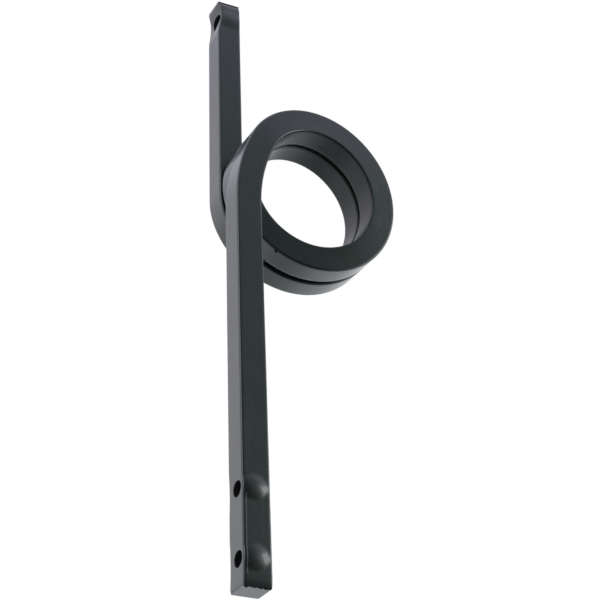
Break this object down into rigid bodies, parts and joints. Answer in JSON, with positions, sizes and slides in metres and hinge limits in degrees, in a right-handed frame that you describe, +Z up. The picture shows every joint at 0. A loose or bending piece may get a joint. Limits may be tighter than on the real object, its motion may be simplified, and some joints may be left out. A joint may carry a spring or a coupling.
{
  "type": "harrow tine",
  "caption": "Spring tine of square bar with a wound coil between a short upper leg and a long lower leg, both with cross bolt holes.",
  "frame": {"origin": "centre of the bolt hole in the back leg, on the middle plane of the bar", "axes": "+Z up along both legs, -Y the front, where the coil starts and the long leg hangs, +X from the legs towards the coil and along the bolt holes"},
  "size_m": [0.179, 0.0843, 0.6669],
  "materials": {
    "black_paint": "satin black paint over hot-worked spring steel"
  },
  "bodies": {
    "root": {"harrow_tine": "black_paint"}
  },
  "joints": []
}
